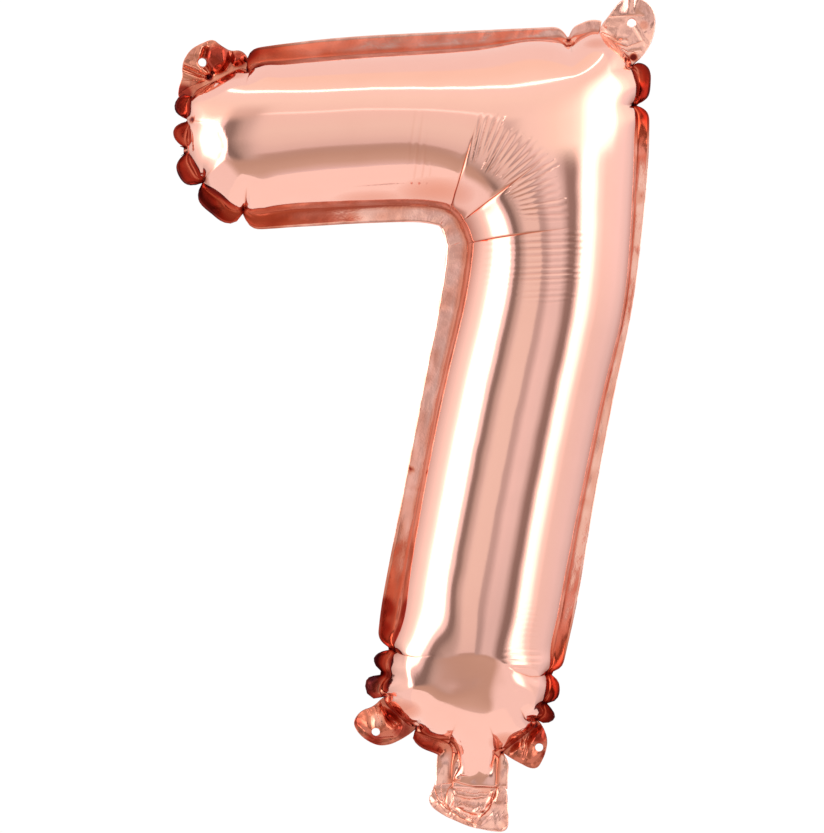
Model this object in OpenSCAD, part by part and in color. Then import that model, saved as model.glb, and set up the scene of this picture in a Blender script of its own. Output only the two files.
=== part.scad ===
// Foil number balloon, digit seven, blown up with air.
// Two sheets of metallised film are welded together round the digit. The weld leaves a flat
// rim, four hanging tabs with a punched hole, and a neck that holds a flat self-sealing valve.
// X runs to the right of the digit, Z up it, and the front faces -Y. The weld lies in Y = 0.

/* [Size] */
// Overall height, from the top tab to the end of the tail
overall_h = 400; // [300:10:800]
// Depth of the tube over its width
puff = 0.94; // [0.70:0.01:1.00]
// Width of the welded rim outside the tube
rim_w = 8; // [6:0.5:10]
// Thickness of one sheet of film, drawn thicker than the real 0.03 mm
film_t = 0.5; // [0.4:0.05:0.6]

/* [Tabs and tail] */
// Diameter of the punched hole in each hanging tab
hole_d = 4; // [3:0.5:5]
// Clear gap on the fold side of each hinge line
fold_gap = 0.8; // [0.7:0.05:1.0]
// Length of the flat tail below its fold line
tail_l = 21; // [16:0.5:30]

/* [Valve] */
// Width of the valve's two strips of film
valve_w = 15; // [10:0.5:16]
// Length of the valve's strips, up from the fold line
valve_l = 62; // [40:1:80]
// Thickness of one valve strip
valve_t = 0.3; // [0.2:0.05:0.35]

/* [Hidden] */

drawn_h = 400;              // the height at which the points below are drawn
drawn_puff = 0.94;          // the depth over the width that they are drawn with
k = overall_h / drawn_h;    // scale of the outline
arc_steps = 12;             // facets across the tube
per_key = 4;                // rings between two stations
foil = [0.96, 0.73, 0.66];
film = [0.92, 0.92, 0.90];
hinge_setback = 1.8;        // from the weld to a tab's fold line
root_rim = hinge_setback - fold_gap;
tab_start = 0.3;            // from the fold line to the tab's own edge
fold_z = -178.5;            // height of the tail's fold line
tail_x = 29;                // middle of the neck and the tail

// Stations along the digit, from the tip of the arm round the corner to the neck.
// Each holds the weld on the outer side (x, z), the weld on the inner side (x, z),
// half the depth of the tube there, and how wide the rim is on the two sides, over rim_w.
stations = [
    [-110.2, 129, -110.2, 126, 0.5, 0.60, 0.60],
    [-108, 142, -107, 119, 14, 0.80, 0.90],
    [-107, 155, -101.8, 111.8, 23, 1.00, 1.00],
    [-94.5, 162, -92.5, 104, 29, 1.00, 1.10],
    [-80.5, 168.5, -81.5, 97.4, 32, 1.00, 1.00],
    [-54.5, 171.5, -54.5, 99.4, 33, 1.00, 1.00],
    [-23.5, 174, -26.5, 101, 34, 0.90, 0.95],
    [25.5, 177, 0.5, 101.7, 36, 0.85, 1.00],
    [74.5, 182.5, 14.5, 100, 40, 0.60, 1.05],
    [89.5, 184, 20, 96.5, 42, 0.60, 1.10],
    [106.5, 170, 23, 92, 42, 0.80, 1.15],
    [107.9, 149.5, 25.1, 87, 41, 0.65, 1.25],
    [106.9, 113, 26.3, 79.5, 39.5, 0.60, 1.30],
    [102.3, 56, 22.5, 54, 37.5, 0.35, 1.20],
    [91.5, 8, 12.1, 8, 37, 0.55, 1.00],
    [81.5, -40, 2.5, -40, 36.5, 0.70, 0.95],
    [72.5, -88, -6.1, -88, 36.5, 0.75, 1.00],
    [66.2, -123.5, -10.7, -112, 34, 0.50, 0.90],
    [64.7, -138.5, -14, -125, 30, 0.60, 0.85],
    [60.9, -147.5, -15.5, -136, 26, 0.60, 0.85],
    [52, -154.5, 0.5, -151, 19, 0.60, 0.75],
    [42.7, -161.5, 17.5, -158, 12, 0.60, 0.85],
    [40.5, -170, 18.5, -169, 6, 0.65, 0.90],
    [40, fold_z + fold_gap, 18.5, fold_z + fold_gap, 0.9, 0.65, 1.20]
];
last = len(stations) - 1;

// Places where the rim is gathered to a point, as station numbers with a fraction.
outer_pinches = [1, 2, 4, 8, 9, 10, 11, 17, 18, 19, 21];
inner_pinches = [0, 2, 4, 17, 18.3, 19, 20];
// Stretches with no rim, where a tab takes over.
outer_roots = [[2, 4], [9, 10], [19, 21]];
inner_roots = [[19, 20]];
pinch_reach = 0.35;         // half the width of a gather, in stations

// Hanging tabs: the weld that each grows from, the centre and radius of its round end, and
// the centre of its punched hole.
tab_top_left = [[-107, 155], [-80.5, 168.5], [-102.5, 170.5], 10, [-101.3, 170]];
tab_top_right = [[89.5, 184], [106.5, 170], [104.8, 189], 11, [105.1, 189]];
tab_bottom_left = [[-15.5, -136], [0.5, -151], [-18, -148], 10.5, [-17.9, -151.6]];
tab_bottom_right = [[60.9, -147.5], [42.7, -161.5], [56, -161], 9, [60.6, -159.2]];

// Outline of the tail below the fold line, as x and depth below it.
tail_outline = [[9.5, tab_start], [45, tab_start], [46, tail_l - 0.6],
                [38.5, tail_l + 0.5], [27, tail_l - 1.8], [14.5, tail_l - 7.5],
                [7, tail_l - 14]];

function spline(a, b, c, d, t) =
    0.5 * (2 * b + (c - a) * t + (2 * a - 5 * b + 4 * c - d) * t * t
           + (3 * b - a - 3 * c + d) * t * t * t);
function key(i) = stations[max(0, min(last, i))];
function at(u) =
    let (i = min(last - 1, max(0, floor(u))))
    spline(key(i - 1), key(i), key(i + 1), key(i + 2), u - i);
function unit(v) = v / norm(v);
function roots(side) = side > 0 ? outer_roots : inner_roots;
function root_of(u, side) = [for (r = roots(side)) if (u >= r[0] && u <= r[1]) r];

// The weld on the outer side (side = 1) or the inner side (side = -1). It is straight
// where a tab grows from it.
function drawn_weld(u, side) = let (s = at(u)) side > 0 ? [s[0], s[1]] : [s[2], s[3]];
function weld(u, side) =
    let (found = root_of(u, side))
    found == [] ? drawn_weld(u, side)
    : let (r = found[0], t = (u - r[0]) / (r[1] - r[0]))
      (1 - t) * drawn_weld(r[0], side) + t * drawn_weld(r[1], side);
function outward(u, side) =
    let (t = unit(weld(min(last, u + 0.1), side) - weld(max(0, u - 0.1), side)))
    side * [-t[1], t[0]];

function gather(u, pinches) =
    min([for (p = pinches) min(1, abs(u - p) / pinch_reach)]);
function rim(u, side) =
    let (full = rim_w * at(u)[side > 0 ? 5 : 6],
         pinches = side > 0 ? outer_pinches : inner_pinches)
    root_of(u, side) != [] ? root_rim
    : root_rim + (full - root_rim) * sqrt(gather(u, pinches));

// One ring of a panel. face is -1 for the front sheet and 1 for the back sheet.
function ring(u, face) =
    let (o = weld(u, 1) * k, i = weld(u, -1) * k,
         mid = (o + i) / 2, half = (o - i) / 2,
         h = at(u)[4] * k * puff / drawn_puff,
         of = o + outward(u, 1) * rim(u, 1), if_ = i + outward(u, -1) * rim(u, -1),
         thin = 1 - film_t / norm(half))
    concat(
        [[of[0], 0, of[1]], [of[0], face * film_t, of[1]]],
        [for (n = [0:arc_steps])
            let (a = 180 * n / arc_steps, p = mid + half * cos(a))
            [p[0], face * (h * sin(a) + film_t), p[1]]],
        [[if_[0], face * film_t, if_[1]], [if_[0], 0, if_[1]]],
        [for (n = [arc_steps:-1:0])
            let (a = 180 * n / arc_steps, p = mid + half * cos(a) * thin)
            [p[0], face * h * sin(a), p[1]]]);

// The triangles of a tube of rings, turned round on the back sheet so that they face out.
function turned(tris, face) = face < 0 ? tris : [for (t = tris) [t[0], t[2], t[1]]];
function wall(rings, n) =
    [for (r = [0:rings - 2], c = [0:n - 1])
        let (a = r * n + c, b = r * n + (c + 1) % n)
        each [[a, b, a + n], [b, b + n, a + n]]];
function cap(base, n, flip) =
    let (m = arc_steps,
         quads = concat([[0, 1, 2, n - 1]],
                        [for (c = [0:m - 1]) [2 + c, 3 + c, n - 2 - c, n - 1 - c]],
                        [[2 + m, 3 + m, 4 + m, 5 + m]]))
    [for (q = quads)
        each [flip ? [base + q[0], base + q[2], base + q[1]]
                   : [base + q[0], base + q[1], base + q[2]],
              flip ? [base + q[0], base + q[3], base + q[2]]
                   : [base + q[0], base + q[2], base + q[3]]]];

module panel(face) {
    rings = last * per_key + 1;
    n = 2 * arc_steps + 6;
    points = [for (r = [0:rings - 1]) each ring(r / per_key, face)];
    tris = concat(wall(rings, n), cap(0, n, true), cap((rings - 1) * n, n, false));
    polyhedron(points, turned(tris, face), convexity = 10);
}

module front_panel() { color(foil) panel(-1); }
module back_panel() { color(foil) panel(1); }

// A plate in the plane of the digit, from y0 to y1, with a flat outline as its child.
module plate(y0, y1) {
    translate([0, y1, 0]) rotate([90, 0, 0]) linear_extrude(y1 - y0) children();
}

// A tab is both sheets welded together: a round end joined to its fold line, with nothing
// on the balloon's side of that line.
module hang_tab(spec) {
    a = spec[0] * k;
    b = spec[1] * k;
    centre = spec[2] * k;
    hole = spec[4] * k;
    along = unit(b - a);
    side = (centre - a) * [-along[1], along[0]] > 0 ? 1 : -1;
    out = side * [-along[1], along[0]];
    setback = hinge_setback + tab_start;
    corner_in = 1.5;
    reach = 80 * k;
    color(foil) difference() {
        plate(-film_t, film_t) intersection() {
            hull() {
                translate(a + along * corner_in + out * setback) circle(1, $fn = 16);
                translate(b - along * corner_in + out * setback) circle(1, $fn = 16);
                translate(centre) circle(spec[3] * k, $fn = 48);
            }
            translate((a + b) / 2 + out * setback)
                rotate(atan2(out[1], out[0])) translate([0, -reach]) square([reach, 2 * reach]);
        }
        translate([hole[0], 0, hole[1]]) rotate([90, 0, 0])
            cylinder(d = hole_d, h = 6 * film_t, center = true, $fn = 48);
    }
}

module hang_tab_top_left() { hang_tab(tab_top_left); }
module hang_tab_top_right() { hang_tab(tab_top_right); }
module hang_tab_bottom_left() { hang_tab(tab_bottom_left); }
module hang_tab_bottom_right() { hang_tab(tab_bottom_right); }

// One sheet of the tail. The two are welded at the sides and lie apart where air goes in.
module tail_ply(face) {
    slit = 0.2;
    channel = 20;
    y0 = face < 0 ? -film_t : 0;
    color(foil) difference() {
        plate(y0, y0 + film_t)
            polygon([for (p = tail_outline) [p[0], fold_z - p[1]] * k]);
        translate([tail_x * k - channel / 2, -slit, -overall_h])
            cube([channel, 2 * slit, overall_h]);
    }
}

module tail_front_ply() { tail_ply(-1); }
module tail_back_ply() { tail_ply(1); }

// The valve: two strips of clear film, side by side in the neck, that air presses shut.
module valve_strip(face) {
    rest = 0.02;
    y0 = face < 0 ? -rest - valve_t : rest;
    color(film)
        translate([tail_x * k - valve_w / 2, y0, fold_z * k + fold_gap])
            cube([valve_w, valve_t, valve_l]);
}

module valve_front_film() { valve_strip(-1); }
module valve_back_film() { valve_strip(1); }

front_panel();
back_panel();
valve_front_film();
valve_back_film();
tail_front_ply();
tail_back_ply();
hang_tab_top_left();
hang_tab_top_right();
hang_tab_bottom_left();
hang_tab_bottom_right();
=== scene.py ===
# %% [markdown]
# # A foil balloon in the shape of a seven
# The real balloon is two sheets of metallised film, welded together along a line that draws
# the digit and then blown up with air. Nothing in it is stiff. Its shape comes from the weld,
# the pressure, and the film's refusal to stretch, which is why it puckers wherever the weld
# curves. This lesson builds it in that order: weld, pressure, puckers, rim, tabs, finish.

# %% Load the frame
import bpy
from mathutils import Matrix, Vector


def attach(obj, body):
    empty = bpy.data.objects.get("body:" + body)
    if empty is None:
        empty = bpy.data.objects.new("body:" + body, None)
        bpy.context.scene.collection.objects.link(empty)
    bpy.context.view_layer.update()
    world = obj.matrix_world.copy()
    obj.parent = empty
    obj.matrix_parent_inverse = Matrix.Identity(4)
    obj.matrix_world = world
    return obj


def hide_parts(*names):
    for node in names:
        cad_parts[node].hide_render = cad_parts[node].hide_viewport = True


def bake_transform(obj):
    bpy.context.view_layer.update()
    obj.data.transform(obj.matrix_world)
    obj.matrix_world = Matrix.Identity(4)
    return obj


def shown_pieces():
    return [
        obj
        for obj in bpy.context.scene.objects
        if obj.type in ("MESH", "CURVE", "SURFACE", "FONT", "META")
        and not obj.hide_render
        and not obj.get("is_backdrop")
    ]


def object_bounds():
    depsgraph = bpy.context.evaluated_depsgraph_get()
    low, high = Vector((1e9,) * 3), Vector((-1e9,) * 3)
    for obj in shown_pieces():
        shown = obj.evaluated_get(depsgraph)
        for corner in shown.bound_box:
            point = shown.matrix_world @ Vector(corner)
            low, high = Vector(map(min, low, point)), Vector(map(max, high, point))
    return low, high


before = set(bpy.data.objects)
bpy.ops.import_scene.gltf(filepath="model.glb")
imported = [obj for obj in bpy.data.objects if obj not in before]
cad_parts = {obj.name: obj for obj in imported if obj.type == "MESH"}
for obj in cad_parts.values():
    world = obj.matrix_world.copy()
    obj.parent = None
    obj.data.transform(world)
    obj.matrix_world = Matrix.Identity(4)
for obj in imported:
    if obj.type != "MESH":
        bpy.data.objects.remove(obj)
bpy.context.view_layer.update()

# %% [markdown]
# NumPy does the arithmetic on grids of points, and Blender gets finished vertices and faces.
# The shapes are worked out in millimetres, as a maker would, and turned to metres only when a
# mesh is made. All chance comes from seeded generators, so the balloon is the same every
# time.

# %% Modules and units
import math

import bpy
import numpy as np
from mathutils import Vector
from mathutils.geometry import delaunay_2d_cdt

MM = 0.001
rng = np.random.default_rng(7)

# %% [markdown]
# ## The weld
# Everything hangs on one closed line, so it comes first. It could be drawn as a curve object,
# but the sheet between its two sides also has to be a neat grid, so that reflections run
# smoothly down the tube. The line is therefore kept as two sides, paired station by station
# from the tip of the arm, round the corner, to the neck. All numbers are in millimetres.

# %% Stations
# Columns: outer weld x, z; inner weld x, z; rim width outside and inside; how far the rim
# leans forward, outside and inside; painted shade of the folded rim, 0 to 1, outside and inside.
STATIONS = np.array([
    [-110.2, 129, -110.2, 126, 6.0, 6.0, 3.0, 3.0, 0.8, 0.8],
    [-108, 142, -107, 119, 6.5, 6.5, 3.5, 3.5, 0.85, 0.85],
    [-107, 155, -101.8, 111.8, 6.5, 7.0, 3.5, 3.5, 0.85, 0.85],
    [-94.5, 162, -92.5, 104, 7.0, 8.0, 3.0, 4.5, 0.85, 0.85],
    [-80.5, 168.5, -81.5, 97.4, 7.0, 7.5, 3.0, 4.5, 0.85, 0.65],
    [-54.5, 171.5, -54.5, 99.4, 8.0, 8.5, 3.8, 3.6, 0.24, 0.3],
    [-23.5, 174, -26.5, 101, 8.5, 8.5, 3.0, 1.6, 0.1, 0.14],
    [25.5, 177, 0.5, 101.7, 8.0, 8.5, 2.6, 0.4, 0.08, 0.1],
    [74.5, 182.5, 14.5, 100, 5.0, 8.8, 1.0, 0.2, 0.0, 0.1],
    [89.5, 184, 20, 96.5, 6.0, 9.0, 0.5, 0.0, 0.1, 0.08],
    [106.5, 170, 23, 92, 6.0, 9.5, 3.0, 0.0, 0.85, 0.05],
    [107.9, 149.5, 25.1, 87, 5.5, 10.0, 3.4, 0.0, 0.8, 0.05],
    [106.9, 113, 26.3, 79.5, 5.5, 10.4, 1.2, 0.0, 0.0, 0.05],
    [102.3, 56, 22.5, 54, 3.6, 9.8, 0.6, 0.3, 0.15, 0.08],
    [91.5, 8, 12.1, 8, 4.6, 8.2, 0.5, 0.3, 0.12, 0.08],
    [81.5, -40, 2.5, -40, 5.6, 7.8, 0.8, 0.8, 0.1, 0.2],
    [72.5, -88, -6.1, -88, 6.4, 8.4, 1.8, 3.2, 0.14, 0.55],
    [66.2, -123.5, -10.7, -112, 5.0, 7.0, 3.0, 3.0, 0.7, 0.85],
    [64.7, -138.5, -14, -125, 5.4, 7.4, 3.2, 3.2, 0.85, 0.95],
    [60.9, -147.5, -15.5, -136, 5.4, 7.4, 2.6, 2.6, 0.85, 0.9],
    [52, -154.5, 0.5, -151, 5.0, 6.0, 1.0, 3.0, 0.6, 0.85],
    [42.7, -161.5, 17.5, -158, 5.0, 7.2, 0.6, 2.0, 0.15, 0.6],
    [40.5, -170, 18.5, -169, 5.4, 7.4, 0.2, 0.4, 0, 0],
    [40, -179, 18.5, -179, 5.4, 8.4, 0.0, 0.0, 0, 0],
])
LAST = len(STATIONS) - 1


def spline(table, u):
    """Rows of a table, smoothly between stations: a Catmull-Rom spline."""
    u = np.clip(np.asarray(u, float), 0, LAST)
    i = np.minimum(u.astype(int), LAST - 1)
    t = (u - i)[:, None]
    a, b, c, d = (table[np.clip(i + k, 0, LAST)] for k in (-1, 0, 1, 2))
    return 0.5 * (2 * b + (c - a) * t + (2 * a - 5 * b + 4 * c - d) * t ** 2
                  + (3 * b - a - 3 * c + d) * t ** 3)

# %% [markdown]
# The weld is gathered to a point at each pucker. Between two stretches that carry a tab it runs
# straight, because the tab folds there. `side` is +1 for the outer side of the digit and -1
# for the inner side.

# %% Puckers and tab roots
# Stations at which the weld is gathered, and the stretches that carry a tab.
PINCHES = {1: [0, 1, 2, 4, 8, 10, 11, 17, 18, 19, 21], -1: [0, 2, 4, 17, 17.9, 19, 20]}
ROOTS = {1: [(2, 4), (9, 10), (19, 21)], -1: [(19, 20)]}


def columns(side, first):
    """The two columns of one side, in a table that holds pairs for both sides."""
    return [first, first + 1] if side > 0 else [first + 2, first + 3]


def weld_line(u, side):
    """The weld on one side, straight under a tab."""
    line = spline(STATIONS, u)[:, columns(side, 0)]
    for a, b in ROOTS[side]:
        inside = (u >= a) & (u <= b)
        ends = spline(STATIONS, [a, b])[:, columns(side, 0)]
        t = ((u[inside] - a) / (b - a))[:, None]
        line[inside] = (1 - t) * ends[0] + t * ends[1]
    return line


def smoothstep(edge0, edge1, x):
    """0 before the first edge, 1 after the second, with a soft change between."""
    t = np.clip((x - edge0) / (edge1 - edge0), 0, 1)
    return t * t * (3 - 2 * t)


def path_length(points):
    """Length along a line of points, from its start to each of them."""
    return np.concatenate([[0], np.cumsum(np.linalg.norm(np.diff(points, axis=0), axis=1))])


FINE_STEPS = 6000
fine_u = np.linspace(0, LAST, FINE_STEPS)
fine_weld = {side: weld_line(fine_u, side) for side in (1, -1)}
fine_length = {side: path_length(fine_weld[side]) for side in (1, -1)}
print("weld lengths, mm:", {s: round(fine_length[s][-1]) for s in fine_length})

# %% [markdown]
# Rows of the grid are spaced by the longer side's length. They are close at the tip, where the
# film turns down to the weld within a few millimetres, and round the corner, where the crimps
# are only three millimetres apart. The straight stretches need far fewer.

# %% Rows
ROW_MM = 1.75
ACROSS = 84
CORNER_FROM, CORNER_TO = 6.6, 13.6
TIP_CROWDING, TIP_CROWDED_MM, CORNER_CROWDING = 5, 6, 1.0

longer = np.maximum(np.diff(fine_length[1]), np.diff(fine_length[-1]))
travel = np.concatenate([[0], np.cumsum(longer)])
in_corner = smoothstep(CORNER_FROM, CORNER_FROM + 0.6, fine_u)
in_corner *= 1 - smoothstep(CORNER_TO - 0.3, CORNER_TO, fine_u)
crowding = 1 + TIP_CROWDING * np.exp(-travel / TIP_CROWDED_MM) + CORNER_CROWDING * in_corner
crowded = np.concatenate([[0], np.cumsum(longer * crowding[1:])])
row_count = int(crowded[-1] / ROW_MM)
row_u = np.interp(np.linspace(0, crowded[-1], row_count), crowded, fine_u)
print("rows:", row_count, "columns:", ACROSS + 1)

# %% [markdown]
# At each pucker the film is drawn in, so the weld has a small notch there. Three small
# functions say where the nearest pucker is, which way is out of the digit, and how far the weld
# is drawn in.

# %% Notched weld
def pinch_distance(u, side):
    """Millimetres along the weld to the nearest pucker on that side."""
    here = np.interp(u, fine_u, fine_length[side])
    marks = np.interp(PINCHES[side], fine_u, fine_length[side])
    return np.abs(here[:, None] - marks).min(axis=1)


def outward(u, side):
    """Unit normal of the weld, pointing out of the digit."""
    ahead = np.clip(u + NORMAL_STEP, 0, LAST)
    behind = np.clip(u - NORMAL_STEP, 0, LAST)
    run = weld_line(ahead, side) - weld_line(behind, side)
    run /= np.linalg.norm(run, axis=1)[:, None]
    return side * np.stack([-run[:, 1], run[:, 0]], axis=1)


NORMAL_STEP = 0.02
NOTCH_MM = 2.4
NOTCH_REACH_MM = 5.0


def welded(u, side):
    """The weld with a small notch at each pucker, where the film is gathered."""
    bite = np.clip(1 - pinch_distance(u, side) / NOTCH_REACH_MM, 0, 1) ** 2
    plain = (u > LAST - 3) | (u < 0.05)
    return weld_line(u, side) - outward(u, side) * (NOTCH_MM * bite * ~plain)[:, None]


weld = {side: welded(row_u, side) for side in (1, -1)}
print("stem width, mm:", round(float(np.linalg.norm((weld[1] - weld[-1])[row_count * 2 // 3]))))

# %% [markdown]
# ## The pressure
# How deep does a flat shape puff up? A simple rule comes close: solve the pressure equation,
# -laplacian(u) = 1 with u = 0 on the weld, and take the depth as the root of 2u. In a long
# straight tube that gives an exact round section, it is fuller in the corner, and it flattens
# towards the tip as a real foil balloon does. A cloth simulation would also give it, but with
# wrinkles in places that can't be chosen. The equation is solved on the grid's own triangles,
# by conjugate gradients.

# %% Flat grid
across = np.pi * np.arange(ACROSS + 1) / ACROSS
middle = (weld[1] + weld[-1]) / 2
half = (weld[1] - weld[-1]) / 2
flat = middle[:, None, :] + half[:, None, :] * np.cos(across)[None, :, None]
rows, cols = flat.shape[:2]
print("points in the flat grid:", rows * cols)


def grid_quads(n_rows, n_cols):
    """The faces of a grid of points, four corners each."""
    a = (np.arange(n_rows - 1)[:, None] * n_cols + np.arange(n_cols - 1)).ravel()
    return np.stack([a, a + 1, a + n_cols + 1, a + n_cols], axis=1)

# %% [markdown]
# The equation says that the film's pull at each point balances the pressure there. On triangles
# it becomes one line of numbers for each point, with weights from the angles, and conjugate
# gradients solves all of them together.

# %% Pressure solver
def solve_pressure(points, quads, source, fixed):
    """u for -laplacian(u) = source on flat triangles, with u = 0 at the fixed points."""
    tri = np.concatenate([quads[:, [0, 1, 2]], quads[:, [0, 2, 3]]])
    n = len(points)
    p = points[tri]
    e1, e2 = p[:, 1] - p[:, 0], p[:, 2] - p[:, 0]
    area = np.abs(e1[:, 0] * e2[:, 1] - e1[:, 1] * e2[:, 0]) / 2
    area = np.maximum(area, 1e-7)
    ends, weights = [], []
    for k in range(3):
        i, j, o = tri[:, k], tri[:, (k + 1) % 3], tri[:, (k + 2) % 3]
        dot = ((points[i] - points[o]) * (points[j] - points[o])).sum(axis=1)
        ends.append(np.stack([i, j], axis=1))
        weights.append(dot / (4 * area))
    ends, weights = np.concatenate(ends), np.concatenate(weights)
    load = np.bincount(tri.ravel(), np.repeat(area / 3, 3), n) * source
    i, j = ends.T
    diagonal = np.bincount(i, weights, n) + np.bincount(j, weights, n)
    free = ~fixed

    def stiffness(x):
        pull = diagonal * x - np.bincount(i, weights * x[j], n) - np.bincount(j, weights * x[i], n)
        return pull * free

    u = np.zeros(n)
    r = load * free
    inverse = np.where(free, 1 / np.maximum(diagonal, 1e-9), 0)
    z = inverse * r
    d, rz = z.copy(), r @ z
    first = rz
    for step in range(4000):
        q = stiffness(d)
        alpha = rz / (d @ q)
        u += alpha * d
        r -= alpha * q
        z = inverse * r
        rz, last = r @ z, rz
        if rz < 1e-12 * first:
            break
        d = z + (rz / last) * d
    print("pressure solved in", step + 1, "steps")
    return u

# %% [markdown]
# The neck is nearly flat, because nothing blows it up, and it closes at the line where the tail
# folds. So the pressure is let down there, and the depth with it.

# %% Depth of the tube
ROUNDNESS = 0.95
NECK_TOP, NECK_FLAT = -150.0, -172.0
NECK_PRESSURE, NECK_DEPTH = 0.03, 0.5
FOLD_Z, FOLD_DEPTH, FOLD_REACH = -178.5, 0.08, 9

points = flat.reshape(-1, 2)
edge = np.zeros((rows, cols), bool)
edge[0], edge[:, 0], edge[:, -1] = True, True, True
above_neck = smoothstep(NECK_FLAT, NECK_TOP, flat[..., 1])
above_fold = smoothstep(FOLD_Z, FOLD_Z + FOLD_REACH, flat[..., 1])
source = NECK_PRESSURE + (1 - NECK_PRESSURE) * above_neck.ravel()
u = solve_pressure(points, grid_quads(rows, cols), source, edge.ravel())
depth = ROUNDNESS * np.sqrt(2 * np.maximum(u, 0)).reshape(rows, cols)
depth *= FOLD_DEPTH + (1 - FOLD_DEPTH) * above_fold
depth *= NECK_DEPTH + (1 - NECK_DEPTH) * above_neck
print("depth of the tube, mm: stem", round(depth[rows * 2 // 3].max(), 1),
      "deepest", round(depth.max(), 1))

# %% [markdown]
# ## Puckers, creases and crimps
# Film can't shrink, so wherever the tube turns, the spare film folds. Three kinds of fold
# matter here. Short valleys run in from each pucker of the weld. Sharp creases fan out from
# the inside of the corner and run down into the neck. Fine crimps cross the crest between
# them, like pleats. The valleys move the surface itself. Creases and crimps are finer than the
# grid, so the grid only carries their distance, phase and depth, and the film's material works
# out the exact tilt at each point. On a mirror it is the tilt, not the depth, that shows.

# %% Valleys along a line
def from_polyline(x, z, line):
    """Signed distance to a line of points, and how far along it (0 to 1) the nearest point is."""
    line = np.asarray(line, float)
    total = path_length(line)
    best = np.full(x.shape, 1e9)
    along = np.zeros(x.shape)
    for k in range(len(line) - 1):
        a, d = line[k], line[k + 1] - line[k]
        length = np.hypot(*d)
        t = np.clip(((x - a[0]) * d[0] + (z - a[1]) * d[1]) / length ** 2, 0, 1)
        gap = np.hypot(x - a[0] - t * d[0], z - a[1] - t * d[1])
        left = np.where((x - a[0]) * d[1] - (z - a[1]) * d[0] > 0, -1.0, 1.0)
        closer = gap < np.abs(best)
        best = np.where(closer, gap * left, best)
        along = np.where(closer, (total[k] + t * length) / total[-1], along)
    return best, along


def crease(x, z, line, deep, wide, fade=0.5, lip=0.35):
    """A valley with a sharp bottom and soft raised lips, fading towards its far end."""
    gap, along = from_polyline(x, z, line)
    gap = np.abs(gap)
    strength = 1 - smoothstep(1 - fade, 1.0, along)
    valley = -np.exp(-gap / wide)
    lips = lip * np.exp(-(gap / (2.6 * wide) - 1) ** 2 / 0.35)
    return deep * strength * (valley + lips)

# %% [markdown]
# Where the folds run follows from the weld: each starts at a pucker, at the inside of the
# corner, or at the end of the neck's weld, and runs up towards the crest of the tube. Each is
# a list of points in millimetres and a few numbers, so that one can be moved by hand.

# %% Where the folds run
# Sharp creases: points, depth in mm, painted shade of the fold, share of the length that fades out.
SHARP_CREASES = [
    ([(18.5, 100.8), (21.6, 111), (25.8, 124.5), (30.5, 140)], 0.42, 1.0, 0.6),
    ([(25.5, 94.5), (31.2, 98.5), (41.7, 106), (51.5, 113.5), (63, 122.5)], 0.42, 1.0, 0.7),
    ([(27, 82.8), (41.5, 84.7), (56, 86.6), (70.5, 88.4), (80, 90)], 0.36, 0.95, 0.75),
    ([(18.7, -179), (19.5, -174.5), (22.2, -168), (16.6, -157), (20.5, -146)], 0.5, 0.9, 0.4),
    ([(40, -179), (41, -172), (41.5, -162), (38.6, -154), (36.4, -147)], 0.5, 0.9, 0.4),
    ([(18.7, -175.2), (24.5, -177), (29.5, -178.2), (40, -178.6)], 0.4, 0.6, 0.02),
    ([(-11.5, -111.8), (-6, -113.6), (2, -114.6), (12, -113.4)], 0.25, 0.45, 0.6),
    ([(67, -123.8), (56, -124.2), (49, -121.5), (43, -117)], 0.25, 0.45, 0.6),
    ([(-108, 142.1), (-102.3, 140.6), (-96, 139.7), (-91.7, 136.8)], 0.12, 0.4, 0.9),
    ([(-101.5, 112), (-96, 117.6), (-91.2, 121.9)], 0.12, 0.3, 0.9),
    ([(-81.5, 96.8), (-80.3, 102), (-79.3, 110)], 0.3, 0.6, 0.6),
    ([(-78.4, 170), (-78.6, 165), (-79.5, 158)], 0.3, 0.6, 0.6),
    ([(62, -147.6), (55, -146), (51, -139)], 0.3, 0.7, 0.5),
]

# Valleys that run in from a pucker of the weld: points, depth and width in mm, share that
# fades out. A negative depth is a ridge.
PUCKER_VALLEYS = [
    ([(-78.5, 170), (-78.6, 166), (-79, 157)], 1.4, 3.0, 0.8),
    ([(-81.5, 96.5), (-80.5, 101), (-79.5, 110), (-81, 116)], 1.4, 3.0, 0.8),
    ([(-107.5, 155.5), (-99, 158), (-92, 157)], 1.0, 2.4, 0.9),
    ([(74.5, 183.5), (75.5, 176), (77, 160)], 3.0, 8.0, 0.9),
    ([(-2.5, -113), (-1.5, -124), (0.5, -138)], -2.3, 7.0, 0.4),
    ([(60, -124), (58, -133), (55, -144)], -1.4, 6.0, 0.4),
    ([(107.5, 170.5), (101, 167.5), (92, 164)], 2.2, 5.5, 0.9),
    ([(109, 149.5), (103, 148.5), (96, 148.2)], 1.2, 3.0, 0.9),
    ([(66.8, -123.6), (58, -124.8), (50, -122), (44, -119)], 1.4, 2.2, 0.6),
    ([(-11.3, -111.8), (-4, -115), (4, -115.5)], 1.4, 2.2, 0.7),
    ([(65.3, -138.6), (56, -142), (50, -141)], 1.4, 2.2, 0.8),
    ([(61.5, -147.6), (55, -145), (49, -142)], 1.6, 2.6, 0.8),
    ([(-15.5, -135.8), (-8, -134.5), (0, -133.5)], 1.4, 2.6, 0.9),
    ([(0.2, -151.6), (2.5, -146), (5, -141)], 1.6, 2.8, 0.9),
]

# The shoulder where the straight stem ends and the rounded bottom begins.
SHOULDER = [(-40, -112), (-8, -113.5), (0, -115.5), (11, -114), (24, -112.6), (34, -113.2),
            (45, -118.5), (54, -124), (90, -124.5)]

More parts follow.
